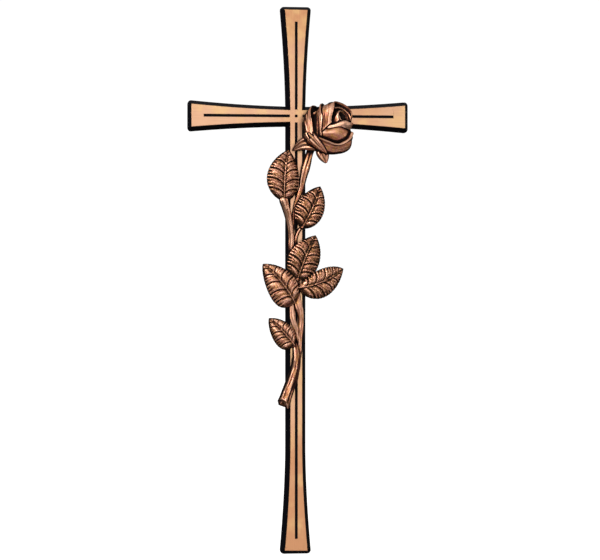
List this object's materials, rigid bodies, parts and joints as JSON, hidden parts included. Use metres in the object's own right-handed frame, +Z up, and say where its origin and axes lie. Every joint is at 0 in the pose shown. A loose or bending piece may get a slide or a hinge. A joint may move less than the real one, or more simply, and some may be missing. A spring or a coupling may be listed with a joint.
{
  "type": "grave cross",
  "caption": "Slim cast bronze cross with flared, grooved arms and a rose branch laid over its front, made to be fixed to a headstone by its flat back.",
  "frame": {"origin": "on the flat back of the cross, where the centre lines of the four arms meet", "axes": "+Z up along the upright bar, +X to the viewer's right along the cross bar, the front faces -Y, and the flat back lies in the plane Y = 0 and faces +Y"},
  "size_m": [0.162, 0.0274, 0.3998],
  "materials": {
    "cross_bronze": "bronze: face brushed to a satin polish, sloping sides and grooves left under a near-black patina",
    "rose_bronze": "cast bronze under a dark brown patina, rubbed back to bright metal on the raised parts"
  },
  "bodies": {
    "root": {"cross": "cross_bronze", "rose_branch": "rose_bronze"}
  },
  "joints": []
}
